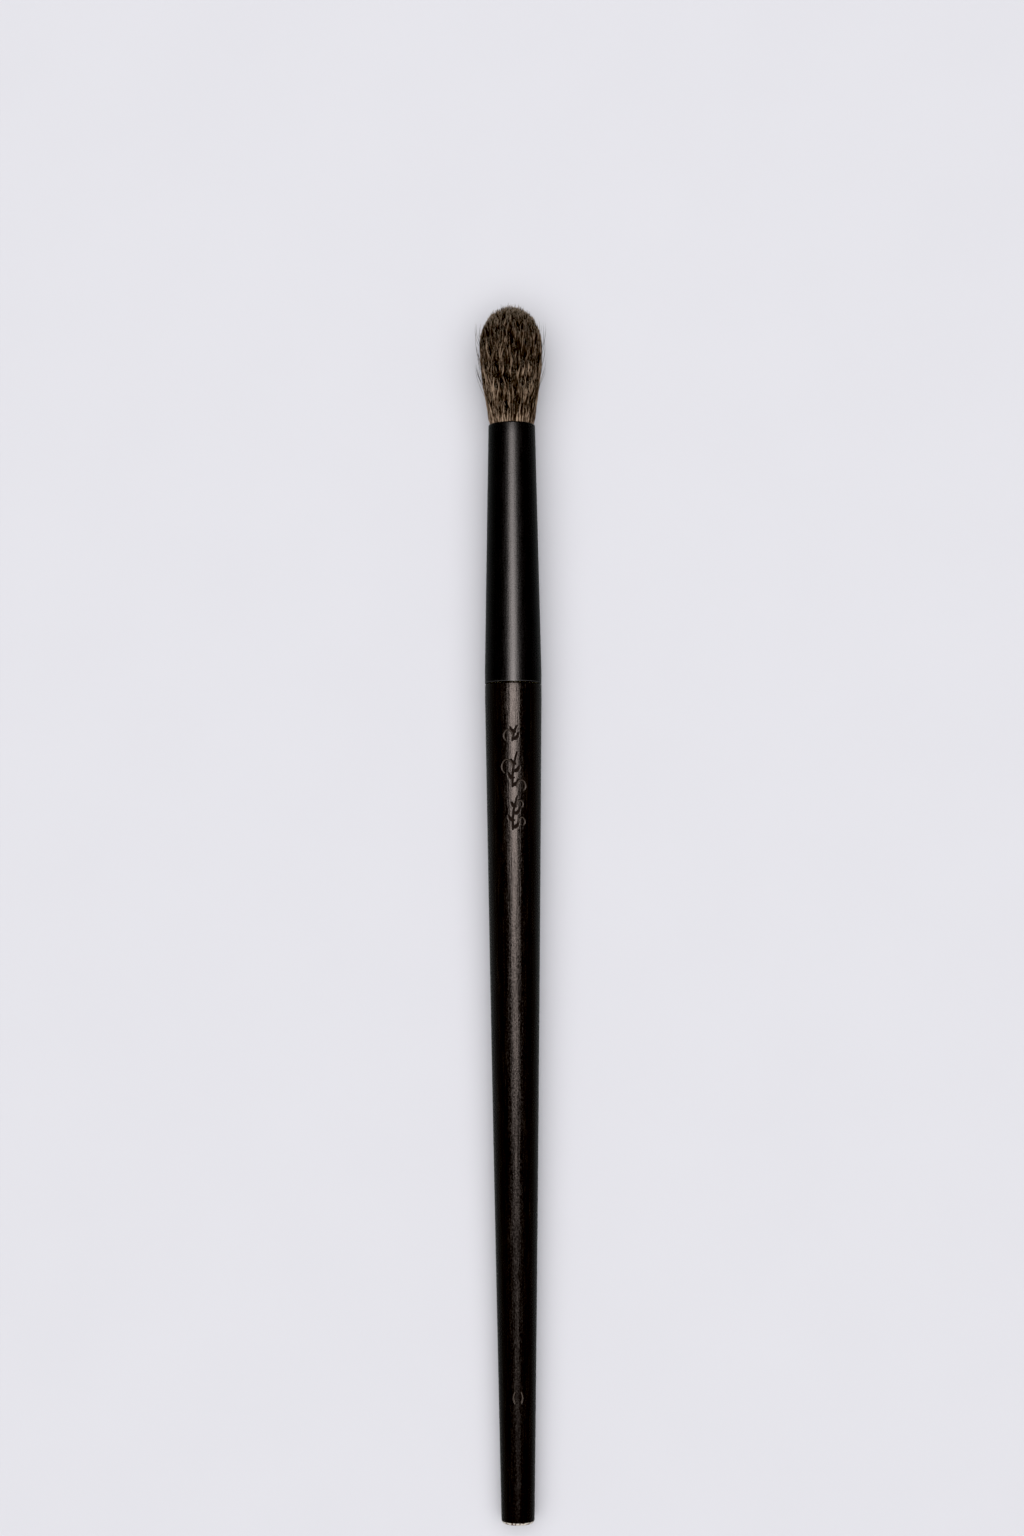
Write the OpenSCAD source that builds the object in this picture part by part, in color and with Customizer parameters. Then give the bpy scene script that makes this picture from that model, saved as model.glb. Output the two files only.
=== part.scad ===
// Round hair brush for blending powder: a turned ebony handle, a tapered
// metal ferrule glued over the handle's tenon, and a domed tuft of natural
// hair whose root is tied with thread and set in resin inside the ferrule.
//
// Row frame: millimetres, +Y along the brush from butt to hair tip, +Z up
// when the brush lies on a table, origin at the centre of the butt's face.
// Every part is turned round one axis, so each is drawn standing on +Z and
// laid along +Y by the module lay().

/* [Handle] */
// Length of the handle that shows, from the butt to the seam
handle_len = 119.5; // [110:0.5:130]
// Diameter at the seam, where the handle and the ferrule meet flush
seam_d = 8.2; // [8:0.1:9]
// Diameter at the butt
butt_d = 4.7; // [4:0.1:5.5]
// Swelling of the taper at mid length, on the diameter
swell_d = 0.15; // [0:0.05:0.3]
// Rounding of the butt's edge
butt_round = 0.5; // [0.2:0.1:0.8]
// Straight length on each side of the seam
land_len = 2; // [1:0.5:3]
// Length of the tenon that goes into the ferrule
tenon_len = 14; // [10:1:17]
// Diameter of the tenon
tenon_d = 6.8; // [6.4:0.1:6.9]

/* [Ferrule] */
// Length of the ferrule
ferrule_len = 37.9; // [35:0.1:42]
// Outside diameter at the ferrule's mouth
mouth_d = 6.8; // [6.6:0.1:7.2]
// Thickness of the ferrule's wall
wall = 0.35; // [0.3:0.05:0.4]
// Width of the hairline gap at the seam
seam_gap = 0.1; // [0.05:0.05:0.2]

/* [Hair] */
// Length of the hair that shows, from the mouth to the tip
tuft_len = 17.5; // [15:0.5:20]
// Diameter of the tuft at its belly
belly_d = 9.2; // [8.6:0.1:10]
// Height of the domed end, from the belly to the tip
dome_len = 6; // [5:0.5:7]
// Length of the hair that is held inside the ferrule
root_len = 14; // [12:1:16]

/* [Binding] */
// Diameter of the thread that ties the hair
thread_d = 0.3; // [0.2:0.05:0.3]
// Number of turns of the thread
thread_turns = 12; // [6:1:14]
// Thickness of the resin under the ends of the hair
resin_base = 1.5; // [1:0.5:2]

/* [Bend] */
// Height above the mouth of the pivot that the free hair bends about
pivot_up = 3; // [2.8:0.1:3.5]
// How far the free hair bends to each side, in degrees
bend_max = 30; // [20:5:30]
// Gap between the hair that is held and the hair that bends
bend_gap = 0.25; // [0.2:0.05:0.3]

/* [Hidden] */

$fn = 96;
taper_steps = 24;           // rings along the handle's taper
tuft_steps = 14;            // rings along each half of the tuft
arc_steps = 6;              // points in a small rounded edge

seam_r = seam_d / 2;
butt_r = butt_d / 2;
mouth_r = mouth_d / 2;
tenon_r = tenon_d / 2;
belly_r = belly_d / 2;

tail_z = handle_len + seam_gap;       // the ferrule's lower end
mouth_z = tail_z + ferrule_len;       // the ferrule's mouth
tip_z = mouth_z + tuft_len;           // the tip of the hair
tenon_top = handle_len + tenon_len;
pivot_z = mouth_z + pivot_up;
belly_z = tip_z - dome_len;

seam_edge = 0.12;           // rounding of both edges at the seam
groove_depth = 0.25;        // glue grooves turned in the tenon
groove_w = 1.2;
groove_at = [3, 7, 11];     // their places above the seam
tenon_chamfer = 0.6;

root_bottom = mouth_z - root_len;
bound_len = thread_d * (thread_turns + 2);  // length of root that the thread covers
bound_top = root_bottom + 1 + bound_len;
skin = 0.05;                // clearance between the thread and what is round it
thread_sides = 6;           // sides of the thread's section
turn_steps = 20;            // sections in one turn of the thread
resin_wall = 0.15;          // resin between the thread and the ferrule, at the least

knuckle_r = 2.5;            // round end of the held hair, on the pivot's axis
knuckle_w = 3;              // its width along that axis
root_r = mouth_r - wall - 0.02;  // the held hair where it leaves the mouth
tuft_foot = 0.1;            // how much smaller than the mouth the free hair starts
flare_power = 1.3;          // how late the tuft swells between mouth and belly

// Lays a part that stands on +Z along +Y.
module lay() rotate([-90, 0, 0]) children();

// Points of a quarter circle of radius r round c, from angle a0 to a1.
function arc(c, r, a0, a1) =
    [for (i = [0:arc_steps]) let (a = a0 + (a1 - a0) * i / arc_steps) c + r * [cos(a), sin(a)]];

// Outside radius of the handle at height z: a straight taper, slightly swollen.
function handle_r(z) =
    let (t = z / (handle_len - land_len))
    butt_r + (seam_r - butt_r) * t + swell_d / 2 * sin(180 * t);

// Outside radius of the ferrule at height z, above its straight land.
function ferrule_r(z) =
    z < tail_z + land_len ? seam_r
    : seam_r + (mouth_r - seam_r) * (z - tail_z - land_len) / (ferrule_len - land_len - wall / 2);

// Inside radius of the ferrule at height z.
function bore_r(z) = ferrule_r(z) - wall;

// Radius of the free hair at height z: it swells to the belly, then closes in an elliptical dome.
function tuft_r(z) =
    z < belly_z
    ? mouth_r - tuft_foot
        + (belly_r - mouth_r + tuft_foot) * pow(sin(90 * (z - mouth_z) / (belly_z - mouth_z)), flare_power)
    : belly_r * sqrt(max(0, 1 - pow((z - belly_z) / dome_len, 2)));

// Radius of the tied bundle where the thread goes round it.
bound_r = bore_r(bound_top) - 2 * skin - thread_d - resin_wall;

module handle() color([0.06, 0.045, 0.04]) lay() difference() {
    rotate_extrude() polygon(concat(
        [[0, 0]],
        arc([butt_r - butt_round, butt_round], butt_round, -90, 0),
        [for (i = [1:taper_steps]) let (z = (handle_len - land_len) * i / taper_steps)
            if (z > 2 * butt_round) [handle_r(z), z]],
        arc([seam_r - seam_edge, handle_len - seam_edge], seam_edge, 0, 90),
        [[tenon_r, handle_len], [tenon_r, tenon_top - tenon_chamfer],
         [tenon_r - tenon_chamfer, tenon_top], [0, tenon_top]]
    ));
    for (z = groove_at) translate([0, 0, handle_len + z]) tenon_groove();
}

// Ring cut in the tenon for the glue to key into.
module tenon_groove() rotate_extrude()
    translate([tenon_r - groove_depth, 0]) square([1, groove_w]);

// Glue that fills the ferrule's tail round the tenon, grooves included.
module tenon_glue() color([0.75, 0.68, 0.5]) lay() {
    rotate_extrude() difference() {
        polygon([
            [tenon_r - groove_depth, tail_z], [bore_r(tail_z), tail_z],
            [bore_r(tail_z), tail_z + land_len],
            [bore_r(tenon_top - tenon_chamfer), tenon_top - tenon_chamfer],
            [tenon_r - groove_depth, tenon_top - tenon_chamfer]
        ]);
        translate([0, handle_len]) difference() {
            square([tenon_r, tenon_len]);
            for (z = groove_at) translate([tenon_r - groove_depth, z]) square([1, groove_w]);
        }
    }
}

module ferrule() color([0.05, 0.05, 0.055]) lay() rotate_extrude() polygon(concat(
    [[bore_r(tail_z), tail_z]],
    arc([seam_r - seam_edge, tail_z + seam_edge], seam_edge, -90, 0),
    [[seam_r, tail_z + land_len]],
    arc([mouth_r - wall / 2, mouth_z - wall / 2], wall / 2, 0, 180),
    [[seam_r - wall, tail_z + land_len]]
));

// Resin cup that glues the tied root to the ferrule's wall.
module root_resin() color([0.7, 0.5, 0.2]) lay() rotate_extrude() {
    base_z = root_bottom - resin_base;
    inner_r = bound_r + thread_d + 2 * skin;
    polygon([
        [0, base_z], [bore_r(base_z), base_z], [bore_r(bound_top), bound_top],
        [inner_r, bound_top], [inner_r, root_bottom], [0, root_bottom]
    ]);
}

// One continuous thread wound round the root, each turn lying against the last.
module binding_thread() color([0.9, 0.87, 0.78]) lay() {
    n = thread_turns * turn_steps;
    coil_r = bound_r + skin + thread_d / 2;
    strand_r = thread_d / 2 * 0.96;
    start_z = root_bottom + 1 + thread_d;
    points = [for (i = [0:n], k = [0:thread_sides - 1])
        let (a = 360 * i / turn_steps, b = 360 * k / thread_sides, r = coil_r + strand_r * cos(b))
        [r * cos(a), r * sin(a), start_z + thread_d * i / turn_steps + strand_r * sin(b)]];
    walls = [for (i = [0:n - 1], k = [0:thread_sides - 1])
        let (a = i * thread_sides, b = a + thread_sides, m = (k + 1) % thread_sides)
        [a + k, a + m, b + m, b + k]];
    first_end = [for (k = [thread_sides - 1:-1:0]) k];
    last_end = [for (k = [0:thread_sides - 1]) n * thread_sides + k];
    polyhedron(points, concat(walls, [first_end, last_end]), convexity = 10);
}

// A short cylinder on the pivot's axis, which is the row's Z.
module on_pivot(r, w) translate([0, 0, pivot_z]) rotate([90, 0, 0]) cylinder(r = r, h = w, center = true);

// The hair that can't move: tied, gripped by the ferrule, and ending in a knuckle on the pivot. The cone
// under the knuckle is as steep as the tuft's foot when it is bent all the way.
module hair_root() color([0.33, 0.26, 0.2]) lay() {
    cone_slope = tan(bend_max);
    cone_top = pivot_z - bend_gap / cos(bend_max);
    rotate_extrude() polygon([
        [0, root_bottom], [bound_r, root_bottom], [bound_r, bound_top],
        [bore_r(bound_top + 0.5) - skin, bound_top + 0.5], [root_r, mouth_z - wall],
        [root_r, cone_top - root_r * cone_slope],
        [knuckle_w / 2, cone_top - knuckle_w / 2 * cone_slope], [0, cone_top - knuckle_w / 2 * cone_slope]
    ]);
    on_pivot(knuckle_r, knuckle_w);
}

// The free hair as one closed body of revolution, hollowed round the knuckle that it turns on.
module hair_tuft() color([0.33, 0.26, 0.2]) lay() difference() {
    rotate_extrude() polygon(concat(
        [[0, pivot_z]],
        [for (i = [0:tuft_steps]) let (z = pivot_z + (belly_z - pivot_z) * i / tuft_steps) [tuft_r(z), z]],
        [for (i = [1:tuft_steps]) let (z = belly_z + dome_len * sin(90 * i / tuft_steps))
            [i == tuft_steps ? 0 : tuft_r(z), z]]
    ));
    on_pivot(knuckle_r + bend_gap, knuckle_w + 2 * bend_gap);
}

handle();
tenon_glue();
ferrule();
root_resin();
binding_thread();
hair_root();
hair_tuft();
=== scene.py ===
# %% [markdown]
# # A round blending brush
#
# A cosmetic brush is three trades in one: a turned wooden handle, a drawn metal ferrule, and a tuft of
# natural hair tied with thread and glued into the ferrule. The frame that is loaded here holds the plain
# engineering solids. This lesson gives each of them its real surface, and then builds the hair.

# %% Load the frame
import math

import bmesh
import bpy
import numpy as np
from mathutils import Matrix, Vector


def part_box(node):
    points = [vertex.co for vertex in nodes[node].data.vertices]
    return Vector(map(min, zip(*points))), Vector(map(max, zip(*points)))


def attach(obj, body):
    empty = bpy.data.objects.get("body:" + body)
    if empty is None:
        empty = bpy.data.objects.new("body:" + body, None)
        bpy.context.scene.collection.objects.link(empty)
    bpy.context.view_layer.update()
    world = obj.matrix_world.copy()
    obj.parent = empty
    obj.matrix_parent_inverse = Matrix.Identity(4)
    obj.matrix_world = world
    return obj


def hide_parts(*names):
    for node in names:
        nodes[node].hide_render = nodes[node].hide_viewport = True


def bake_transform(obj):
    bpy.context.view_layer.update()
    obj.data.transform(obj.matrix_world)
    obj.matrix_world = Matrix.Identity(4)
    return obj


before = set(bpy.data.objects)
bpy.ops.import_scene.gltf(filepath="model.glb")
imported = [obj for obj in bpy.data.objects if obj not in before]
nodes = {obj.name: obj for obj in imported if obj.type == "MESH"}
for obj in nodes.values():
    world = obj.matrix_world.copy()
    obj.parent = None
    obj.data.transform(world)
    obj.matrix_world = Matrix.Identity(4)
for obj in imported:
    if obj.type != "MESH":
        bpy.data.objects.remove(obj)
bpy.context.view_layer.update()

MM = 0.001
DEG = math.pi / 180
AXIS = (0, 1, 0)          # the brush's own axis, from the butt to the hair
print("nodes:", ", ".join(sorted(nodes)))

# %% [markdown]
# ## Sizes
#
# The engineering solids already say where everything is, so the lengths are read from them and not typed
# again. Only what a box can't tell, such as the radius at the butt, is named here. All names below are in
# millimetres along or across the brush, because that is how a turner would measure it.

# %% Sizes, in millimetres
SEAM_GAP = 0.1
LAND = 2.0
BUTT_R = 2.35
BUTT_ROUND = 0.5
SWELL = 0.075
SEAM_EDGE = 0.12
TENON_R = 3.4
TENON_CHAMFER = 0.6
GROOVES = (3, 7, 11)
GROOVE_WIDTH = 1.2
GROOVE_DEPTH = 0.25
MOUTH_R = 3.4
WALL = 0.35
DOME = 6.0

seam_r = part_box("handle")[1].x / MM
tenon_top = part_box("handle")[1].y / MM
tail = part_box("ferrule")[0].y / MM
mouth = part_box("ferrule")[1].y / MM
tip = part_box("hair_tuft")[1].y / MM
belly_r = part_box("hair_tuft")[1].x / MM
seam = tail - SEAM_GAP
belly = tip - DOME
print(f"seam at {seam:.1f}, mouth at {mouth:.1f}, belly at {belly:.1f}, tip at {tip:.1f} mm")

# %% [markdown]
# ## Two helpers for the lathe work
#
# Handle, ferrule and core are all turned round one axis. By hand, a turner's outline is drawn one point
# after another and then spun. `draw_outline` does the drawing: it starts from a plane with all but one
# corner deleted, and extrudes that corner along the outline. `pick` is the hand that selects: edit-mode
# operators act on what is selected, so every step first chooses its points by their place. `spin_outline`
# turns the outline round the axis, merges the points that meet, and makes every face point outwards.

# %% Selecting by place
def only(piece):
    """Makes piece the one selected and active object."""
    bpy.ops.object.select_all(action="DESELECT")
    piece.select_set(True)
    bpy.context.view_layer.objects.active = piece


def pick(piece, wanted, edges=False):
    """In edit mode, selects the points, or the edges, that pass a test on their place in mm."""
    mesh = bmesh.from_edit_mesh(piece.data)
    for v in mesh.verts:
        v.select = False
    for e in mesh.edges:
        e.select = False
    if edges:
        for e in mesh.edges:
            e.select = all(wanted(v.co / MM) for v in e.verts)
        chosen = sum(e.select for e in mesh.edges)
    else:
        for v in mesh.verts:
            v.select = wanted(v.co / MM)
        chosen = sum(v.select for v in mesh.verts)
        mesh.select_flush(True)
    bmesh.update_edit_mesh(piece.data)
    return chosen


# %% Drawing an outline
def draw_outline(name, outline, turned=0.0):
    """A new piece of (radius, height) points in mm, in the half plane turned from +Z to +X."""
    bpy.ops.object.select_all(action="DESELECT")
    bpy.ops.mesh.primitive_plane_add(size=MM)
    piece = bpy.context.object
    piece.name = piece.data.name = name
    places = [Vector((r * math.sin(turned), y, r * math.cos(turned))) * MM for r, y in outline]
    bpy.ops.object.mode_set(mode="EDIT")
    first = piece.data.vertices[0].co / MM
    pick(piece, lambda p: (p - first).length > 0.1)
    bpy.ops.mesh.delete(type="VERT")
    bpy.ops.mesh.select_all(action="SELECT")
    bpy.ops.transform.translate(value=places[0] - first * MM)
    for here, there in zip(places, places[1:]):
        bpy.ops.mesh.extrude_region_move(TRANSFORM_OT_translate={"value": there - here})
    return piece


# %% Spinning it
MERGED = 0.002            # mm: points closer than this become one, which closes seams and poles
SHARP = 40                # degrees between faces that stay a sharp edge


def spin_outline(piece, arcs):
    """In edit mode, spins the outline round the brush's axis by (degrees, steps) and closes it."""
    bpy.ops.mesh.select_all(action="SELECT")
    for degrees, steps in arcs:
        bpy.ops.mesh.spin(steps=steps, angle=degrees * DEG, center=(0, 0, 0), axis=AXIS)
    bpy.ops.mesh.select_all(action="SELECT")
    bpy.ops.mesh.remove_doubles(threshold=MERGED * MM)
    bpy.ops.mesh.normals_make_consistent(inside=False)
    bpy.ops.object.mode_set(mode="OBJECT")
    only(piece)
    bpy.ops.object.shade_smooth_by_angle(angle=SHARP * DEG)
    return piece


def rounded(cx, cy, radius, start, end, steps):
    """Points of an arc round (cx, cy), from angle start to end in degrees."""
    angles = [(start + (end - start) * i / steps) * DEG for i in range(steps + 1)]
    return [(cx + radius * math.cos(a), cy + radius * math.sin(a)) for a in angles]


def ramp(x):
    """0 up to x = 0, 1 from x = 1, and smooth between."""
    x = np.clip(x, 0, 1)
    return x * x * (3 - 2 * x)


# %% [markdown]
# ## The handle
#
# The handle is turned from a dense black wood, sanded and lacquered. Its outline is a straight taper with
# a very slight swelling, so that it doesn't look hollow in the hand, and it ends in a short straight land
# where it meets the ferrule. Above the seam the tenon carries three glue grooves, hidden in the ferrule.
#
# The face that carries the engraving needs points every 0.06 mm, and the rest doesn't, so the outline is
# spun in two arcs, one fine and one coarse, and only the heights of the engraving are subdivided finely.

# %% The handle's outline
def handle_radius(y):
    t = y / (seam - LAND)
    return BUTT_R + (seam_r - BUTT_R) * t + SWELL * math.sin(math.pi * t)


def groove_outline(y):
    deep = TENON_R - GROOVE_DEPTH
    return [(TENON_R, y), (deep, y), (deep, y + GROOVE_WIDTH), (TENON_R, y + GROOVE_WIDTH)]


RING = 2.4                # mm between the rings of the plain taper
rings = int((seam - LAND - 2 * BUTT_ROUND) / RING)
taper = [2 * BUTT_ROUND + (seam - LAND - 2 * BUTT_ROUND) * i / rings for i in range(1, rings + 1)]
handle_outline = [(0, 0), (BUTT_R * 0.4, 0)]
handle_outline += rounded(BUTT_R - BUTT_ROUND, BUTT_ROUND, BUTT_ROUND, -90, -2, 10)
handle_outline += [(handle_radius(y), y) for y in taper]
handle_outline += rounded(seam_r - SEAM_EDGE, seam - SEAM_EDGE, SEAM_EDGE, 0, 90, 6)
handle_outline += [(TENON_R, seam)]
for g in GROOVES:
    handle_outline += groove_outline(seam + g)
handle_outline += [(TENON_R, tenon_top - TENON_CHAMFER)]
handle_outline += [(TENON_R - TENON_CHAMFER, tenon_top), (0, tenon_top)]
print(len(handle_outline), "points in the handle's outline")

# %% Spin the handle
ORNAMENT = (97.6, 115.0)  # mm from the butt: where the sprigs are engraved
MARK = (16.4, 19.6)       # and the small mark near the butt
FINE = 0.06               # mm between points there
FACE = (-36, 56)          # degrees from +Z to +X that are spun finely
COARSE = 54               # steps of the spin round the rest

handle = draw_outline("handle_wood", handle_outline, turned=FACE[1] * DEG)
for low, high in (ORNAMENT, MARK):
    top = min(high + RING, seam - LAND + 0.1)
    chosen = pick(handle, lambda p: low - RING < p.y < top, edges=True)
    bpy.ops.mesh.subdivide(number_cuts=int(RING / FINE))
    print(chosen, "edges of the taper cut finely")
fine_arc = FACE[1] - FACE[0]
spin_outline(handle, [(fine_arc, int(fine_arc * DEG * seam_r / FINE)), (360 - fine_arc, COARSE)])
print(len(handle.data.polygons), "faces")

# %% [markdown]
# ## The engraving
#
# A laser or a burin cuts a groove about a tenth of a millimetre deep. Here the groove is real geometry:
# every point of the fine face that lies under a stroke moves towards the axis, deepest in the middle of
# the stroke. The strokes are drawn flat, as (across, along) in millimetres, and wrapped round the wood.
# The ornament is a row of three small sprigs with a few thin tendrils, and near the butt there is a small
# mark of two bowed strokes. The depth is kept on the points as an attribute, so that the material can tell
# the bare cut wood from the lacquer, and two more attributes say which cuts are fine, to be painted paler
# partly as a painted highlight on their edges, and where the butt's edge shows bare wood and a painted
# gleam of light.

# %% Strokes of the sprigs
SPRIGS = ((98.4, 4.7), (104.5, 4.9), (111.1, 2.1))   # mm: where each sprig starts, and its length
LEAF_STEP = 1.0           # mm from one leaf to the next
OFF = 0.15                # mm that the sprigs' middle lies to the right of the top line
STEM_LEAN = 0.35          # mm that each stem leans to either side of that middle
STEM = (0.14, 0.08)       # mm, half the width of a stem where it is widest and at its ends
LEAF = (0.25, 0.10)       # the same of a leaf
LEAF_REACH = (0.85, 0.75) # mm across and along from a leaf's foot to its tip
FINE_LINE = 0.055         # mm, half the width of a tendril


def curve_stroke(start, end, bow, wide, thin, count=24):
    """A stroke from start to end that bows sideways, widest a third of the way along."""
    (x0, y0), (x1, y1) = start, end
    points = []
    for i in range(count + 1):
        t = i / count
        swing = bow * math.sin(math.pi * t)
        across = x0 + (x1 - x0) * t + swing * (y1 - y0)
        along = y0 + (y1 - y0) * t - swing * (x1 - x0)
        points.append((across, along, thin + (wide - thin) * math.sin(math.pi * t ** 0.7)))
    return points


def sprig(low, long):
    """A short stem with leaves to the left and right in turn, each a little smaller than the last."""
    foot, head = (OFF - STEM_LEAN, low), (OFF + STEM_LEAN, low + long)
    drawn = [curve_stroke(foot, head, -0.05, *STEM, 60)]
    leaves = int(long / LEAF_STEP)
    for k in range(leaves):
        y = low + 0.25 + k * LEAF_STEP
        x = OFF - STEM_LEAN + 2 * STEM_LEAN * (y - low) / long
        side = (-1) ** k
        size = 1.0 - 0.35 * k / leaves
        leaf_tip = (x + side * LEAF_REACH[0] * size, y + LEAF_REACH[1] * size)
        drawn.append(curve_stroke((x, y), leaf_tip, side * 0.2, *LEAF))
    return drawn


def curl(x, y, side, size):
    """A thin tendril that leaves (x, y) sideways and winds back on itself."""
    points = []
    for i in range(61):
        t = i / 60
        turn = 1.35 * math.pi * t
        radius = size * (1 - 0.45 * t)
        across = x + side * (size - radius * math.cos(turn))
        points.append((across, y + 1.5 * radius * math.sin(turn), FINE_LINE))
    return points


strokes = [stroke for low, long in SPRIGS for stroke in sprig(low, long)]
tendrils = [
    curl(OFF - 0.3, 107.2, -1, 0.95),
    curl(OFF - 0.3, 111.7, -1, 0.75),
    curl(OFF + 0.3, 104.5, 1, 0.75),
    curl(OFF + 0.3, 101.9, 1, 0.5),
    curl(OFF + 0.5, 99.4, 1, 0.55),
]
print(len(strokes), "stems and leaves,", len(tendrils), "tendrils")

# %% The small mark near the butt
MARK_OFF = 0.1            # mm that the mark lies to the right of the top line
MARK_TALL = 1.4           # mm
MARK_LINE = 0.09          # mm, half the width of its strokes
mark_low = (MARK[0] + MARK[1] - MARK_TALL) / 2


def mark_stroke(side, count=16):
    """One of the two bowed strokes of the mark, on the left (-1) or the right (1)."""
    shares = [i / count for i in range(count + 1)]
    apart = [0.45 + 0.2 * math.sin(math.pi * t) for t in shares]
    return [(MARK_OFF + side * a, mark_low + MARK_TALL * t, MARK_LINE) for a, t in zip(apart, shares)]


tendrils += [mark_stroke(-1), mark_stroke(1)]
marks = [(*point, 0) for stroke in strokes for point in stroke]
marks += [(*point, 1) for stroke in tendrils for point in stroke]
print(len(strokes) + len(tendrils), "strokes,", len(marks), "points along them")

# %% Press the strokes into the wood
ENGRAVED = 0.10           # mm deep
SOFT_EDGE = 0.04          # mm that the groove runs out beyond a stroke's own width
STEEP = 1.4               # above 1 the groove has a flat bottom
BUTT_WEAR_AND_GLEAM = (0.8, 0.42)   # mm in from the butt's edge and up from its face of the pale rim: bare wood and a painted gleam

mesh = handle.data
place = np.empty(len(mesh.vertices) * 3)
mesh.vertices.foreach_get("co", place)
place = place.reshape(-1, 3) / MM
radius = np.hypot(place[:, 0], place[:, 2])
across = np.arctan2(place[:, 0], place[:, 2]) * radius
face = (np.abs(across) < 3.6) & (place[:, 1] < seam - LAND) & (radius > 1)
face &= (place[:, 1] > MARK[0] - 1) & ((place[:, 1] < MARK[1] + 1) | (place[:, 1] > ORNAMENT[0] - 1))
flat = np.stack([across[face], place[face, 1]], axis=1)
cut, fine_cut = np.zeros(len(flat)), np.zeros(len(flat))
for mark_across, mark_along, half_width, is_fine in marks:
    away = np.hypot(flat[:, 0] - mark_across, flat[:, 1] - mark_along)
    near = 1 - away / (half_width + SOFT_EDGE)
    cut = np.maximum(cut, near)
    fine_cut = np.maximum(fine_cut, near * is_fine)
depth, pale = np.zeros(len(place)), np.zeros(len(place))
depth[face] = ramp(cut * STEEP)
# Fine cuts are painted paler: partly the cut wood's brown, partly a painted highlight on their edges.
pale[face] = ramp(fine_cut * STEEP)
place[:, [0, 2]] *= (1 - ENGRAVED * depth / np.maximum(radius, 1))[:, None]
mesh.vertices.foreach_set("co", (place * MM).ravel())
mesh.attributes.new("engraved", "FLOAT", "POINT").data.foreach_set("value", depth)
mesh.attributes.new("pale", "FLOAT", "POINT").data.foreach_set("value", pale)
# The pale rim round the butt's edge: partly bare wood, partly a painted gleam of light on the edge.
rim_wear_gleam_mask = ramp((radius - BUTT_R + BUTT_WEAR_AND_GLEAM[0]) / 0.2) * ramp((BUTT_WEAR_AND_GLEAM[1] - place[:, 1]) / 0.10)
mesh.attributes.new("wear_and_gleam", "FLOAT", "POINT").data.foreach_set("value", rim_wear_gleam_mask)
mesh.update()
print(f"{int((depth > 0.5).sum())} points lie in the grooves, {ENGRAVED} mm deep")

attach(handle, "handle_body")
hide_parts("handle")

# %% [markdown]
# ## The ferrule
#
# The ferrule is one drawn cone of thin aluminium. Its mouth is trimmed and polished to a small round lip
# that doesn't cut the hair, and its tail edge is broken where it meets the wood, which leaves the fine
# black line of the seam. The outline goes up the inside, over the lip and down the outside. Just above the
# tail edge a thin grey line is painted on, a painted highlight where the broken edge catches the light, and
# the points of that line are marked for the material.

# %% Spin the ferrule
def ferrule_radius(y):
    t = (y - tail - LAND) / (mouth - tail - LAND - WALL / 2)
    return seam_r + (MOUTH_R - seam_r) * min(max(t, 0), 1)


FERRULE_RINGS = 24
GLINT_BAND = 0.06          # mm: the band just above the broken tail edge, painted grey as a painted highlight
cone = mouth - WALL / 2 - tail - LAND
heights = [tail + LAND + cone * i / FERRULE_RINGS for i in range(FERRULE_RINGS + 1)]
ferrule_outline = [(seam_r - WALL, tail + SEAM_EDGE)]
ferrule_outline += [(ferrule_radius(y) - WALL, y) for y in heights[:-1]]
ferrule_outline += rounded(MOUTH_R - WALL / 2, mouth - WALL / 2, WALL / 2, 180, 0, 12)
ferrule_outline += [(ferrule_radius(y), y) for y in reversed(heights[:-1])]
ferrule_outline += [(seam_r, tail + SEAM_EDGE + GLINT_BAND * k) for k in (1.5, 1.0)]
ferrule_outline += rounded(seam_r - SEAM_EDGE, tail + SEAM_EDGE, SEAM_EDGE, 0, -90, 6)
ferrule_outline += [(seam_r - WALL + 0.05, tail), (seam_r - WALL, tail + 0.05), ferrule_outline[0]]

ferrule = draw_outline("ferrule_shell", ferrule_outline)
spin_outline(ferrule, [(360, 144)])

print(len(ferrule.data.polygons), "faces")

# %% The painted highlight at the ferrule's tail
above = np.array([v.co.y / MM - tail - SEAM_EDGE for v in ferrule.data.vertices])
painted_edge_glint = ((above > -0.01) & (above < 1.2 * GLINT_BAND)).astype(float)
ferrule.data.attributes.new("bare", "FLOAT", "POINT").data.foreach_set("value", painted_edge_glint)
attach(ferrule, "handle_body")
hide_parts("ferrule")
print(int(painted_edge_glint.sum()), "points lie on the rubbed line")

# %% [markdown]
# ## The hair
#
# A tuft isn't a solid with a hairy picture on it: its soft edge, its dark gaps and its pale frayed end all
# come from thousands of separate fibres. Each fibre here is real. Modelling one and copying it wouldn't
# do, because each one has its own length and bend, so the fibres are drawn as curves and turned into a mesh.
#
# The brush maker fills a cup with hair, ties the root, and pushes the bundle through the ferrule, so the
# fibres run nearly parallel, open out above the mouth, and end on a dome. Natural hair sticks together in
# small locks, which lean against each other and leave dark slits. So every fibre belongs to a lock and
# follows its path: the fibres of a lock spread in the middle and meet again at its tip. Two thin batches
# finish the outline: short single fibres that make the dome's edge soft, and a few stray ones at the side.

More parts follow.
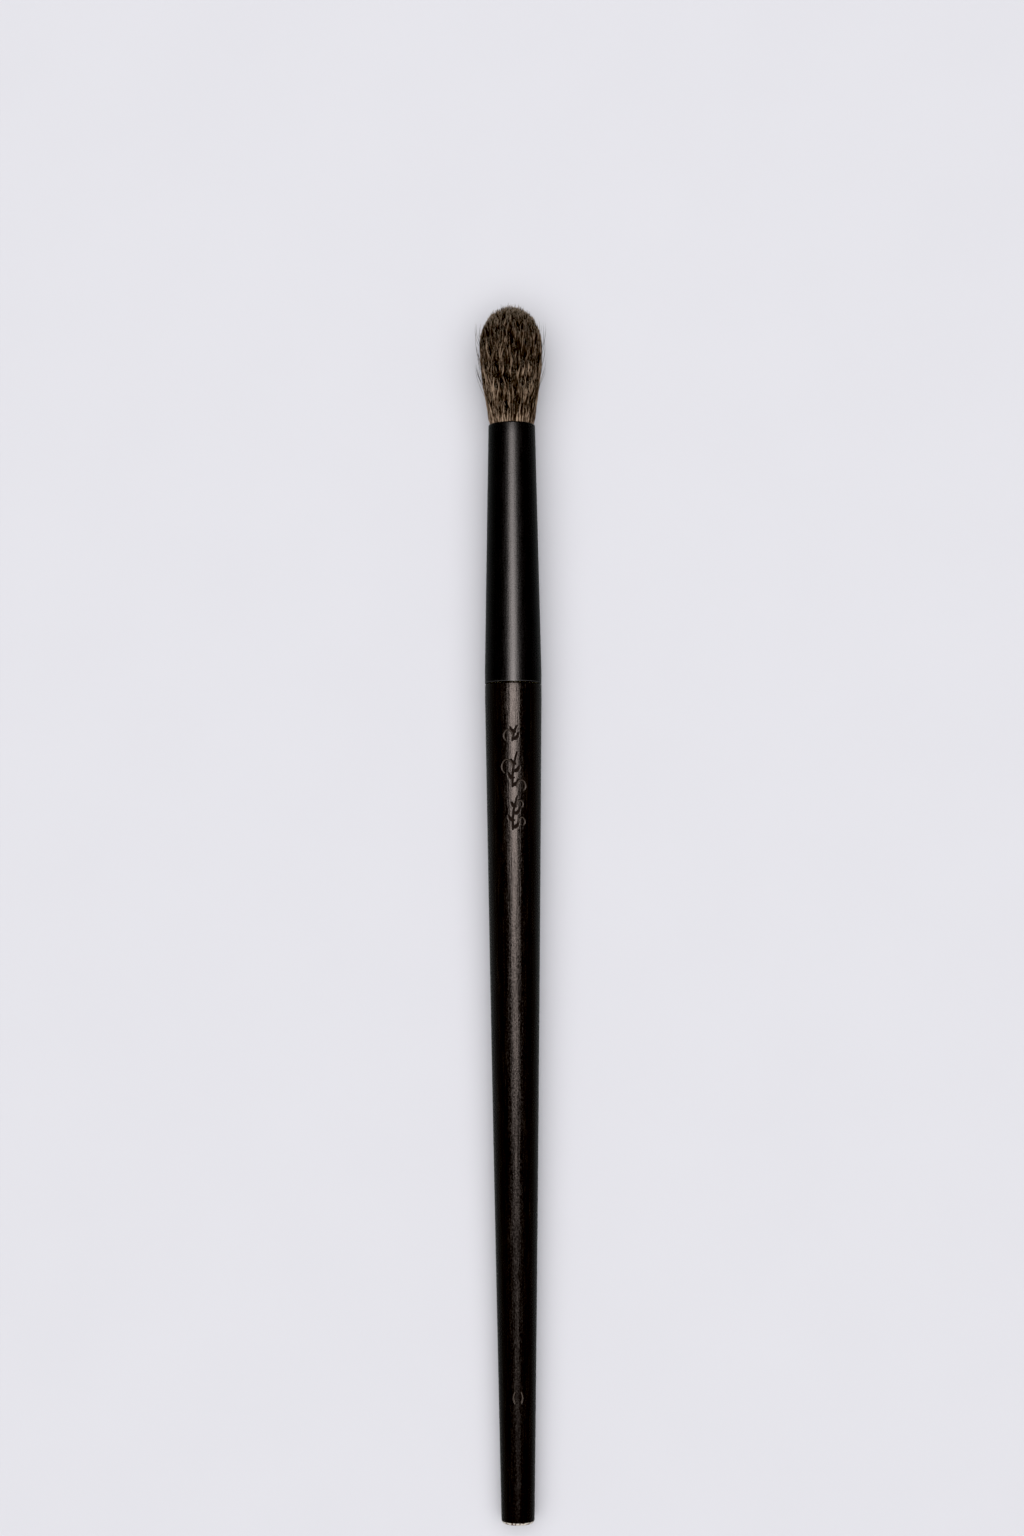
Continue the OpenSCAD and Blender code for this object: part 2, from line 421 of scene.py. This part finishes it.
# %% The tuft's shape
TUFT_R = 3.3              # mm, the tuft's radius just above the mouth
SPREAD = 1.3              # how late it opens
PROUD = 0.04              # mm that a lock stands out from the tuft's own surface
LEAN = 0.10               # mm that the tip leans to the left
ROOTED = 1.2              # mm that a fibre goes down into the ferrule
CLOSING = 0.12            # how far the fibres close in again over the dome, of the radius
BLUNT = 2.15              # 2 makes the dome an ellipse, more makes it blunter
FREE = 2.5                # mm above the mouth from which a fibre is quite free to sway


def tuft_radius(y):
    """The tuft's radius at height y, without the dome."""
    h = np.clip((y - mouth) / (belly - mouth), 0, 1)
    inside = MOUTH_R - WALL - 0.06
    open_r = TUFT_R + (belly_r - PROUD - TUFT_R) * np.sin(math.pi / 2 * h) ** SPREAD
    return inside + (open_r - inside) * ramp((y - mouth + 0.3) / 1.5)


def closing(y):
    """How the fibres close in above the belly: their distance from the axis is multiplied by this."""
    return 1 - CLOSING * np.clip((y - belly) / DOME, 0, 1) ** 2


def dome_height(share):
    """The height at which a fibre that stands at this share of the radius ends on the dome."""
    up = np.sqrt(1 - share ** 2)
    for _ in range(8):
        up = np.clip(1 - (share * (1 - CLOSING * up ** 2)) ** BLUNT, 0, 1) ** (1 / BLUNT)
    return belly + DOME * up


print(f"radius {float(tuft_radius(np.array(mouth + 1))):.2f} mm just above the mouth")

# %% [markdown]
# A lock starts at its root on or under the tuft's surface, runs up the tuft, and tilts and waves a little as
# a whole. Its fibres start together, spread in the middle and meet again at the tip, each with a small bend
# of its own. All random numbers come from one seeded generator, so the tuft is the same every time.

# %% One batch of locks
LOCK_R = 0.21             # mm, half a lock's width
SINK = 0.9                # mm that a lock's root lies deeper than its tip
BURIED = 0.9              # mm below the surface at which no light is left
TILT = 0.10               # of its length that a lock leans sideways, as a usual amount
WAVE = 0.13               # mm that it waves
OWN_BEND = 0.045          # mm that a fibre bends within its lock
TIP_PART = 0.35           # of its length over which a fibre thins out to its tip
LOCK_TONE = 0.42          # share of a fibre's tone that it has from its lock
rng = np.random.default_rng(7)


def lock_fibres(angle, share, top, length, fibres, points, thick, stagger):
    """Fibres of locks that end at (angle, share of the radius, height): places, thicknesses and tones."""
    locks = len(angle)

    def per_lock(values):
        return values[:, None, None]

    root = np.maximum(top - length, mouth - ROOTED)
    late = rng.random((locks, fibres, 1)) ** 1.5 * stagger
    t = np.linspace(0, 1, points)
    along = t * (1 - late)
    y = per_lock(root) + per_lock(top - root) * along
    r = tuft_radius(y) * closing(y)
    free = ramp((y - mouth) / FREE)

    tilt = per_lock(rng.normal(0, TILT, locks))
    wave = per_lock(rng.normal(0, WAVE, locks))
    phase = per_lock(rng.uniform(0, 6, locks))
    sway = tilt * (along - 1) * per_lock(top - root) + wave * np.sin(5.5 * along + phase)
    turned = per_lock(angle) + free * sway / np.maximum(r, 2)
    out = r * per_lock(share) - SINK * (1 - along) ** 2 * free

    each = (locks, fibres, 1)
    spin = rng.uniform(0, 2 * math.pi, each)
    away = np.sqrt(rng.random(each))
    narrow = LOCK_R * away * (0.12 + 0.88 * np.sin(math.pi * np.clip(along, 0, 1) ** 0.8) ** 0.7)
    bend = rng.normal(0, OWN_BEND, each) * np.sin(7 * along + rng.uniform(0, 6, each))
    across = narrow * np.cos(spin) + free * bend
    deep = narrow * np.sin(spin) * 0.7
    px = (out + deep) * np.sin(turned) + across * np.cos(turned)
    pz = (out + deep) * np.cos(turned) - across * np.sin(turned)
    h = np.clip((y - mouth) / (tip - mouth), 0, 1)
    px -= LEAN * h ** 0.8

    thickness = thick * rng.uniform(0.7, 1.3, each) * np.clip((1 - t) / TIP_PART, 0.12, 1) ** 0.8
    tone = LOCK_TONE * rng.random(locks)[:, None] + (1 - LOCK_TONE) * rng.random((locks, fibres))
    # Fibres on the inner side of their lock get a lower tone and those on the outer side a higher one:
    # painted shade.
    tone = np.clip(tone + 0.25 * (away * np.sin(spin))[:, :, 0], 0, 1)
    # How far each point lies below the tuft's surface; the hair's material paints shade by it.
    up = np.clip((y - belly) / DOME, 0, 1)
    outwards = (np.abs((out + deep) / r) ** BLUNT + up ** BLUNT) ** (1 / BLUNT)
    buried = np.clip((1 - outwards) * r / BURIED, 0, 1)
    flat = (locks * fibres, points)
    paths = np.stack([px.reshape(flat), y.reshape(flat), pz.reshape(flat)], axis=2)
    return paths, thickness.reshape(flat), tone.ravel(), buried.reshape(flat)


# %% Where the locks end
FRINGE = 0.22             # mm, how far a fringe fibre usually reaches
FRINGE_MOST = 0.75        # mm, and at most


def surface_locks(count, low, high):
    """Locks that end on the side of the tuft, between two heights."""
    top = rng.uniform(low, high, count)
    return rng.uniform(0, 2 * math.pi, count), rng.uniform(0.95, 1.0, count), top


def dome_locks(count, low, high):
    """Locks that end on the dome, where their share of the radius is between low and high."""
    share = np.sqrt(rng.uniform(low ** 2, high ** 2, count))
    top = dome_height(share) + rng.normal(0.0, 0.12, count)
    return rng.uniform(0, 2 * math.pi, count), share, top


def fringe_locks(count):
    """Single fibres that reach a little past the dome."""
    share = np.sqrt(rng.uniform(0, 0.98, count))
    angle = rng.uniform(0, 2 * math.pi, count)
    past = np.minimum(rng.exponential(FRINGE, count), FRINGE_MOST)
    return angle, share, dome_height(share) - 0.15 + past


def stray_locks(count):
    """Single fibres that stand away from the side of the tuft near its widest place."""
    top = rng.uniform(belly - 3, belly + 4, count)
    return rng.uniform(0, 2 * math.pi, count), rng.uniform(1.0, 1.2, count), top


# %% [markdown]
# Each path becomes a curve with a thin bevel, and the whole batch is converted to one mesh. A bevel leaves
# its ends open, so `fill_holes` closes them. The mesh points come out in the order of the curve's points,
# four to each, so every number that a fibre has is repeated that often and kept as an attribute.

# %% Fibres to mesh
SIDES = 4                 # a curve with a bevel of resolution 0 has four sides


def grow(name, paths, thickness, tone, buried):
    """A mesh piece of fibres: each path a curve with a thin bevel, converted, with its numbers kept."""
    curve = bpy.data.curves.new(name, "CURVE")
    curve.dimensions = "3D"
    curve.bevel_depth = 0.5 * MM
    curve.bevel_resolution = 0
    for path, thick in zip(paths, thickness):
        spline = curve.splines.new("POLY")
        spline.points.add(len(path) - 1)
        spline.points.foreach_set("co", np.c_[path * MM, np.ones(len(path))].ravel())
        spline.points.foreach_set("radius", thick)
    fibres = bpy.data.objects.new(name, curve)
    bpy.context.scene.collection.objects.link(fibres)
    only(fibres)
    bpy.ops.object.convert(target="MESH")
    fibres = bpy.context.object
    count, points = paths.shape[:2]
    along = np.repeat(np.tile(np.linspace(0, 1, points), count), SIDES)
    tones, depths = np.repeat(tone, points * SIDES), np.repeat(buried.ravel(), SIDES)
    kept = {"tone": tones, "along": along, "buried": depths}
    for title, values in kept.items():
        fibres.data.attributes.new(title, "FLOAT", "POINT").data.foreach_set("value", values)
    only(fibres)
    bpy.ops.object.mode_set(mode="EDIT")
    bpy.ops.mesh.select_all(action="SELECT")
    bpy.ops.mesh.fill_holes(sides=SIDES)
    bpy.ops.object.mode_set(mode="OBJECT")
    bpy.ops.object.shade_smooth()
    return fibres


# %% [markdown]
# The heart and the crown end on the dome, and the collar, the side and the shoulder end on the tuft's side,
# overlapping like thatch. A batch is one piece, small enough to be handled by itself.

# %% Grow the tuft
THICK = 0.125             # mm, one fibre
# The fringe is paler, partly as its fine ends are paler hair and partly as painted light through the thin
# edge of the dome.
PALER, SPAN = 0.5, 0.6    # the fringe is paler: its tones start higher and differ less
few = 1.0
# name, where the locks end, length in mm, fibres in a lock, points along a fibre, thickness, raggedness
batches = [
    ("hair_heart", dome_locks(int(330 * few), 0.0, 0.7), 5.5, 8, 6, THICK, 0.12),
    ("hair_crown", dome_locks(int(450 * few), 0.65, 0.99), 5.5, 8, 6, THICK, 0.15),
    ("hair_collar", surface_locks(int(380 * few), mouth + 1.2, mouth + 6), 4.2, 8, 7, THICK, 0.3),
    ("hair_side", surface_locks(int(440 * few), mouth + 5, mouth + 9), 4.2, 8, 6, THICK, 0.3),
    ("hair_shoulder", surface_locks(int(440 * few), mouth + 8.5, belly + 1.2), 4.2, 8, 6, THICK, 0.3),
    ("hair_fringe", fringe_locks(int(800 * few)), 2.4, 1, 5, THICK * 0.4, 0.0),
    ("hair_stray", stray_locks(140), 4.5, 1, 9, THICK * 0.36, 0.0),
]
hair = []
for name, (angle, share, top), length, fibres, points, thick, stagger in batches:
    long = length * rng.uniform(0.7, 1.3, len(angle))
    paths, thickness, tone, buried = lock_fibres(angle, share, top, long, fibres, points, thick, stagger)
    if name == "hair_fringe":
        tone = PALER + SPAN * tone
    piece = grow(name, paths, thickness, tone, buried)
    hair.append(piece)
    print(f"{name}: {len(paths)} fibres, {len(piece.data.polygons)} faces")

# %% [markdown]
# Under the fibres lies a dark core. It stands for the thousands of inner fibres that no light reaches, and
# it keeps the floor from showing through. It is spun from the tuft's own outline, well inside it.

# %% The dark core and the gripped root
CORE = 0.7                # of the tuft's radius
CORE_DOME = 0.8 * DOME    # mm, height of the core's own dome
TIED_R = 2.45             # mm, radius of the root where the thread ties it
TIED_LONG = 5.5           # mm, the tied length
core_mouth = MOUTH_R - WALL - 0.1
root_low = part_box("hair_root")[0].y / MM
core_outline = [(0, root_low), (TIED_R, root_low), (TIED_R, root_low + TIED_LONG)]
core_outline += [(core_mouth, root_low + TIED_LONG + 1), (core_mouth, mouth - 0.6)]
for i in range(1, 13):
    y = mouth + (belly - mouth) * i / 12
    core_outline.append((float(tuft_radius(np.array(y))) * CORE, y))
for a in range(10, 90, 10):
    core_outline.append((belly_r * CORE * math.cos(a * DEG), belly + CORE_DOME * math.sin(a * DEG)))
core_outline += [(0, belly + CORE_DOME)]
core = draw_outline("hair_core", core_outline)
spin_outline(core, [(360, 48)])
print(len(core.data.polygons), "faces in the core")

# %% [markdown]
# The tuft bends where its fibres leave the ferrule, and the joint in the frame is a hinge a little above the
# mouth. Here every piece of hair keeps its place baked into its points, and the frame's own root and tuft
# are hidden.

# %% The hair takes the place of the frame's tuft
for piece in hair + [core]:
    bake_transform(piece)
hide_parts("hair_root", "hair_tuft")

# %% [markdown]
# ## Materials
#
# Four surfaces are seen: lacquered wood, anodised metal, hair, and the bare wood of the engraving. Three
# more lie inside: glue, resin and thread. Each is a small node tree on object coordinates.

# %% [markdown]
# A node tree built in code is long-winded: add a node, find its sockets, link them. The class below is a
# shorthand. Each of its methods adds one node, or a few, and gives back the socket to use next.

# %% A short way to write node trees
class Tree:
    """Node tree of a new material, with its Principled shader."""

    def __init__(self, name):
        self.material = bpy.data.materials.new(name)
        self.material.use_nodes = True
        self.tree = self.material.node_tree
        self.shader = self.tree.nodes["Principled BSDF"]

    def node(self, kind, inputs=None, **settings):
        node = self.tree.nodes.new("ShaderNode" + kind)
        for key, value in settings.items():
            setattr(node, key, value)
        for key, value in (inputs or {}).items():
            self.give(node.inputs[key], value)
        return node

    def give(self, socket, value):
        if isinstance(value, bpy.types.NodeSocket):
            self.tree.links.new(value, socket)
        else:
            socket.default_value = value

    def set(self, **values):
        for key, value in values.items():
            self.give(self.shader.inputs[key.replace("_", " ")], value)

    def place(self, scale=(1, 1, 1)):
        """Object coordinates in millimetres, stretched by scale."""
        where = self.node("TexCoord").outputs["Object"]
        size = [s / MM for s in scale]
        return self.node("Mapping", {"Vector": where, "Scale": size}).outputs["Vector"]

    def noise(self, scale, detail=2.0, rough=0.5, distort=0.0):
        """Noise in cells of about one unit of the stretched place."""
        spread = {"Vector": self.place(scale), "Scale": 1.0, "Detail": detail}
        spread.update({"Roughness": rough, "Distortion": distort})
        return self.node("TexNoise", spread).outputs["Fac"]

    def steps(self, value, *stops):
        """Colour ramp with (position, colour) stops."""
        ramp_node = self.node("ValToRGB", {"Fac": value})
        marks = ramp_node.color_ramp.elements
        while len(marks) < len(stops):
            marks.new(0.5)
        for mark, (position, colour) in zip(marks, stops):
            mark.position = position
            mark.color = colour if len(colour) == 4 else (*colour, 1)
        return ramp_node.outputs["Color"]

    def range(self, value, low, high, to_low, to_high):
        given = {"Value": value, "From Min": low, "From Max": high, "To Min": to_low, "To Max": to_high}
        return self.node("MapRange", given).outputs["Result"]

    def maths(self, operation, a, b=0.0):
        node = self.node("Math", operation=operation)
        self.give(node.inputs[0], a)
        self.give(node.inputs[1], b)
        return node.outputs["Value"]

    def mix(self, share, a, b):
        node = self.node("Mix", data_type="RGBA")
        colours = [s for s in node.inputs if s.type == "RGBA"]
        self.give(node.inputs["Factor"], share)
        self.give(colours[0], a if isinstance(a, bpy.types.NodeSocket) else (*a, 1))
        self.give(colours[1], b if isinstance(b, bpy.types.NodeSocket) else (*b, 1))
        return next(s for s in node.outputs if s.type == "RGBA")

    def bump(self, height, distance, strength=1.0):
        """Bump of a height from 0 to 1 that is this many millimetres high."""
        given = {"Height": height, "Distance": distance * MM, "Strength": strength}
        return self.node("Bump", given).outputs["Normal"]

    def attribute(self, name):
        return self.node("Attribute", attribute_name=name).outputs["Fac"]

    def report(self):
        print(f"{self.material.name}: {len(self.tree.nodes)} nodes")


# %% [markdown]
# ### Lacquered ebony
#
# Ebony is nearly black, so its grain hardly shows until light strikes it: then the reflection is warm and
# broken into long fine streaks. Tinted specular gives the warmth. Satin lacquer over open pores is never
# quite smooth, so long narrow noise changes the roughness and the bump along the run of the grain, and a
# finer speckle breaks up what is left. The groove of the engraving is bare wood and quite dull: dark under
# the broad strokes of the leaves, and paler under the thin tendrils and the mark, partly the brown of the
# cut wood and partly a painted highlight for light caught on their edges. Round the edge of the butt the
# lacquer is rubbed off in patches, and there bare wood shows with a pale painted gleam of light on the edge.

# %% Lacquered ebony
wood = Tree("lacquered_ebony")
grain = wood.noise((3.2, 0.11, 3.2), detail=4, rough=0.6, distort=0.5)
figure = wood.noise((1.1, 0.22, 1.1), detail=2, distort=1.8)
speckle = wood.noise((6, 3, 6), detail=2)
pores = wood.noise((6, 0.5, 6), detail=2, rough=0.6)
run = wood.maths("ADD", wood.maths("MULTIPLY", grain, 0.7), wood.maths("MULTIPLY", figure, 0.3))

# %% The colours of the wood
lacquer = wood.steps(
    run,
    (0.48, (0.0004, 0.0003, 0.0003)),
    (0.57, (0.0011, 0.0007, 0.0005)),
    (0.70, (0.0055, 0.0036, 0.0024)),
)
cut_wood = wood.attribute("engraved")
# Fine cuts are paler: partly the brown of the cut wood, partly a painted highlight of light caught on their
# edges.
bare = wood.mix(wood.attribute("pale"), (0.005, 0.0028, 0.0020), (0.070, 0.055, 0.045))
# The butt's rim: brown bare wood in patches, and a cream painted gleam of light on the edge.
rim = wood.steps(wood.noise((2.6, 1.6, 2.6)), (0.40, (0.10, 0.055, 0.04)), (0.52, (0.66, 0.60, 0.52)))
scuffed_and_gleaming = wood.mix(wood.attribute("wear_and_gleam"), lacquer, rim)

# %% The sheen of the lacquer
DULL = (1, 1, 1)          # roughness of bare cut wood
GRAIN_HIGH = 0.03         # mm, height of the grain and pores under the lacquer
fine_sheen = wood.range(speckle, 0.35, 0.65, -0.04, 0.12)
satin = wood.maths("ADD", wood.range(run, 0.40, 0.62, 0.13, 0.24), fine_sheen)
ridges = wood.maths("ADD", wood.maths("MULTIPLY", pores, 0.35), grain)
relief = wood.maths("ADD", wood.maths("MULTIPLY", speckle, 0.45), ridges)
wood.set(
    Base_Color=wood.mix(cut_wood, scuffed_and_gleaming, bare),
    Roughness=wood.mix(cut_wood, satin, DULL),
    IOR=1.47,
    Specular_Tint=(1, 0.83, 0.76, 1),
    Normal=wood.bump(relief, GRAIN_HIGH),
)
wood.report()

# %% [markdown]
# ### Black anodised aluminium
#
# The metal is blasted to a satin and then dyed black in the anodising bath. The dye makes it read as a
# dark, slightly grainy solid with a soft reflection, and not as a mirror. At the tail a thin line gets a
# dark grey base colour: a painted highlight where the broken edge catches the light.

# %% Black anodised aluminium
black = Tree("black_anodised_metal")
blasted = black.noise((5.5, 4.0, 5.5), detail=3, rough=0.65)
drawn = black.noise((5.0, 0.3, 5.0), detail=2)
texture = black.maths("MULTIPLY", blasted, 0.6)
texture = black.maths("ADD", texture, black.maths("MULTIPLY", drawn, 0.4))
cloud = black.noise((0.8, 0.35, 0.8), detail=2)
dyed = black.steps(cloud, (0.35, (0.0005, 0.0005, 0.0005)), (0.7, (0.0011, 0.0010, 0.0010)))
black.set(
    # The thin line at the tail is painted dark grey: a painted highlight of the broken edge.
    Base_Color=black.mix(black.attribute("bare"), dyed, (0.027, 0.026, 0.026)),
    Roughness=black.range(texture, 0.35, 0.65, 0.22, 0.36),
    IOR=1.42,
    Specular_Tint=(1, 0.91, 0.89, 1),
    Normal=black.bump(texture, 0.016),
)
black.report()

# %% [markdown]
# ### Hair
#
# The fibres are a mixture: dark ones, brown ones and some that are pale tan, paler towards their tips where
# natural hair is finest: partly the hair's own paler ends, and partly painted light shining through them.
# Every fibre carries its tone as an attribute, partly its lock's and partly its own, and a little darker on
# the inner side of its lock, which is painted shade. Bands run across the locks, as each hair is banded
# along its length. The colour also darkens a little towards the tip. A second attribute tells how deep each
# point lies below the tuft's surface, and darkens the fibres between locks: painted shade, where the light
# doesn't reach into the tuft.

# %% Hair
fibre = Tree("hair")
tone = fibre.attribute("tone")
banding = fibre.noise((3.0, 0.9, 3.0), detail=2)
grown = fibre.attribute("along")
height = fibre.node("SeparateXYZ", {"Vector": fibre.place()}).outputs["Y"]
# Darker a little towards the tip; and much darker the deeper a point lies below the surface, which is
# painted shade between the locks.
duller = fibre.range(height, mouth, tip, 0.015, -0.12)
shade = fibre.maths("ADD", tone, fibre.range(banding, 0.3, 0.7, -0.34, 0.18))
lit = fibre.maths("ADD", duller, fibre.range(fibre.attribute("buried"), 0.0, 0.5, 0.12, -0.85))
fur = fibre.steps(
    fibre.maths("ADD", shade, lit),
    (0.12, (0.0016, 0.0009, 0.0005)),
    (0.36, (0.013, 0.0069, 0.0035)),
    (0.60, (0.066, 0.0390, 0.0228)),
    (0.88, (0.340, 0.243, 0.170)),
)
# The ends of the fibres turn pale: partly the hair's own paler tips, partly painted light shining through
# them.
pale = fibre.range(grown, 0.94, 1.0, 0.0, 0.7)
fibre.set(
    Base_Color=fibre.mix(pale, fur, (0.40, 0.32, 0.24)),
    Roughness=0.5,
    Specular_IOR_Level=0.10,
    Specular_Tint=(1, 0.85, 0.70, 1),
)
fibre.report()

# %% [markdown]
# The core is only glimpsed between the locks, so it is nearly black, with faint streaks along the hair.
# Glue, resin and thread are hidden in the ferrule, and plain small materials do for them.

# %% The dark heart of the hair
heart = Tree("hair_shadow")
streak = heart.noise((6, 0.4, 6), detail=2)
heart.set(
    Base_Color=heart.steps(streak, (0.4, (0.0015, 0.0010, 0.0007)), (0.7, (0.0050, 0.0032, 0.0022))),
    Roughness=0.7,
)
heart.report()

# %% Glue, resin and thread
glue = Tree("wood_glue")
cloudy = glue.noise((1.5, 1.5, 1.5))
glue.set(
    Base_Color=glue.steps(cloudy, (0.3, (0.55, 0.47, 0.30)), (0.7, (0.70, 0.62, 0.42))),
    Roughness=0.45,
)
resin = Tree("amber_resin")
amber = resin.noise((1.0, 1.0, 1.0))
resin.set(
    Base_Color=resin.steps(amber, (0.3, (0.38, 0.17, 0.03)), (0.7, (0.52, 0.27, 0.06))),
    Roughness=0.15,
)
thread = Tree("waxed_thread")
twist = {"Vector": thread.place(), "Scale": 3.0, "Distortion": 2.0}
ply = thread.node("TexWave", twist).outputs["Fac"]
thread.set(
    Base_Color=thread.steps(ply, (0.2, (0.62, 0.57, 0.45)), (0.8, (0.82, 0.78, 0.66))),
    Roughness=0.6,
    Normal=thread.bump(ply, 0.02),
)
for tree in (glue, resin, thread):
    tree.report()


# %% Put the finishes on
def finish_with(piece, tree):
    piece.data.materials.clear()
    piece.data.materials.append(tree.material)


finish_with(handle, wood)
finish_with(ferrule, black)
finish_with(core, heart)
for piece in hair:
    finish_with(piece, fibre)
finish_with(nodes["tenon_glue"], glue)
finish_with(nodes["root_resin"], resin)
finish_with(nodes["binding_thread"], thread)
print(len(hair) + 6, "pieces have a finish")

# %% [markdown]
# ## The table, the light and the camera
#
# The brush lies on a white table. It touches it at the seam and at the butt, which are its two widest
# places along a straight line, so the table leans very slightly against the brush's axis.

# %% The table
TABLE = 4                 # metres across
CLEAR = 0.02              # mm between the brush and the table
slope = (seam_r - BUTT_R) / (seam - LAND)
bpy.ops.object.select_all(action="DESELECT")
bpy.ops.mesh.primitive_plane_add(size=TABLE)
floor = bpy.context.object
floor.name = floor.data.name = "table_top"
turn = Matrix.Rotation(-math.atan(slope), 4, "X")
floor.data.transform(Matrix.Translation((0, 0, -(BUTT_R + CLEAR) * MM)) @ turn)
floor.visible_glossy = False
paper = Tree("table_white")
faint = paper.noise((0.06, 0.06, 0.06))
paper.set(
    Base_Color=paper.steps(faint, (0.3, (0.607, 0.598, 0.628)), (0.7, (0.613, 0.604, 0.634))),
    Roughness=0.75,
)
finish_with(floor, paper)
print(f"the table leans {math.degrees(math.atan(slope)):.2f} degrees against the brush's axis")

# %% [markdown]
# A long strip light hangs over the brush and draws the bright line down its length. It is brightest over
# the ferrule and falls off towards the butt, so the line fades there. The strip only serves the reflection.
# The table and the hair take their light from a wide white ceiling, here one very wide sun, which leaves the
# soft shadow along both sides of the brush. The lacquer doesn't mirror the table: dim grey surroundings
# stand in for it, so that the brush's sides are black with only a faint rim.

# %% The strip lights
LIGHT_H = 900             # mm above the brush


def strip_light(name, low, high, radiance):
    """A rectangular light that faces down, from corner low to corner high, (x, y) in mm, this bright."""
    data = bpy.data.lights.new(name, "AREA")
    data.shape = "RECTANGLE"
    data.size, data.size_y = (high[0] - low[0]) * MM, (high[1] - low[1]) * MM
    data.energy = radiance * math.pi * data.size * data.size_y
    lamp = bpy.data.objects.new(name, data)
    lamp.location = ((low[0] + high[0]) / 2 * MM, (low[1] + high[1]) / 2 * MM, LIGHT_H * MM)
    lamp.visible_camera = False
    lamp.visible_diffuse = False
    bpy.context.scene.collection.objects.link(lamp)


strip_light("edge_light", (-290, 92), (290, 364), 3.0)
strip_light("heart_light", (-140, 204), (140, 364), 27.5)
strip_light("middle_light", (-112, 92), (112, 204), 33.5)
strip_light("near_light", (-100, -50), (100, 92), 2.1)
strip_light("far_light", (-90, -260), (90, -50), 0.38)
print(f"the strips hang {LIGHT_H} mm above the brush")

# %% The ceiling
CEILING = 3.4             # W per square metre
CEILING_WIDE = 96         # degrees of sky that it fills
CEILING_TURNED = -2       # degrees, so that the shadow is a little deeper on one side
ceiling = bpy.data.objects.new("ceiling_light", bpy.data.lights.new("ceiling_light", "SUN"))
ceiling.data.energy = CEILING
ceiling.data.angle = CEILING_WIDE * DEG
ceiling.rotation_euler = (0, CEILING_TURNED * DEG, 0)
ceiling.data.color = (0.985, 0.985, 1.0)
ceiling.visible_glossy = False
bpy.context.scene.collection.objects.link(ceiling)
print(f"one sun {CEILING_WIDE} degrees wide, energy {CEILING}")

# %% The surroundings
AROUND = (0.19, 0.20, 0.20, 1)      # what the lacquer and the hair see
BACKDROP = (0.80, 0.79, 0.84, 1)    # what the camera sees past the table
world = bpy.data.worlds.new("studio")
bpy.context.scene.world = world
world.use_nodes = True
around = world.node_tree
seen = around.nodes.new("ShaderNodeLightPath").outputs["Is Camera Ray"]
dim, bright = around.nodes["Background"], around.nodes.new("ShaderNodeBackground")
dim.inputs["Color"].default_value = AROUND
bright.inputs["Color"].default_value = BACKDROP
either = around.nodes.new("ShaderNodeMixShader")
around.links.new(seen, either.inputs[0])
around.links.new(dim.outputs[0], either.inputs[1])
around.links.new(bright.outputs[0], either.inputs[2])
around.links.new(either.outputs[0], around.nodes["World Output"].inputs["Surface"])
print("surroundings", AROUND[:3], "and backdrop", BACKDROP[:3])

# %% [markdown]
# The camera's black point is set a little above zero, as it is for any product picture on white, so that
# stray light doesn't grey the black lacquer.

# %% The black point
BLACK = 0.008
view = bpy.context.scene.view_settings
view.view_transform = "Standard"
view.use_curve_mapping = True
view.curve_mapping.black_level = (BLACK, BLACK, BLACK)
print(f"black point {BLACK}")

# %% [markdown]
# The camera looks down on the table from about the length of two brushes, a little behind the middle of
# the brush and tipped forwards by a few degrees, so the butt comes out slightly larger than it would from
# straight above. `to_track_quat` turns it to the point that it aims at.

# %% The camera
CAMERA = Vector((-0.25, 84.4, 364.7))    # mm
AIM = Vector((-0.25, 107.4, 0))          # mm, the point on the brush's axis in the picture's middle
ROLL = -0.33 * DEG
LENS = 59.18                             # mm, on a sensor 36 mm wide

camera = bpy.data.objects.new("camera", bpy.data.cameras.new("camera"))
camera.data.lens = LENS
camera.data.sensor_width = 36
camera.location = CAMERA * MM
looking = (AIM - CAMERA).to_track_quat("-Z", "Y").to_matrix().to_4x4()
camera.matrix_world = Matrix.Translation(CAMERA * MM) @ looking @ Matrix.Rotation(ROLL, 4, "Z")
bpy.context.scene.collection.objects.link(camera)
bpy.context.scene.camera = camera
print(f"camera {(AIM - CAMERA).length:.0f} mm from the brush")
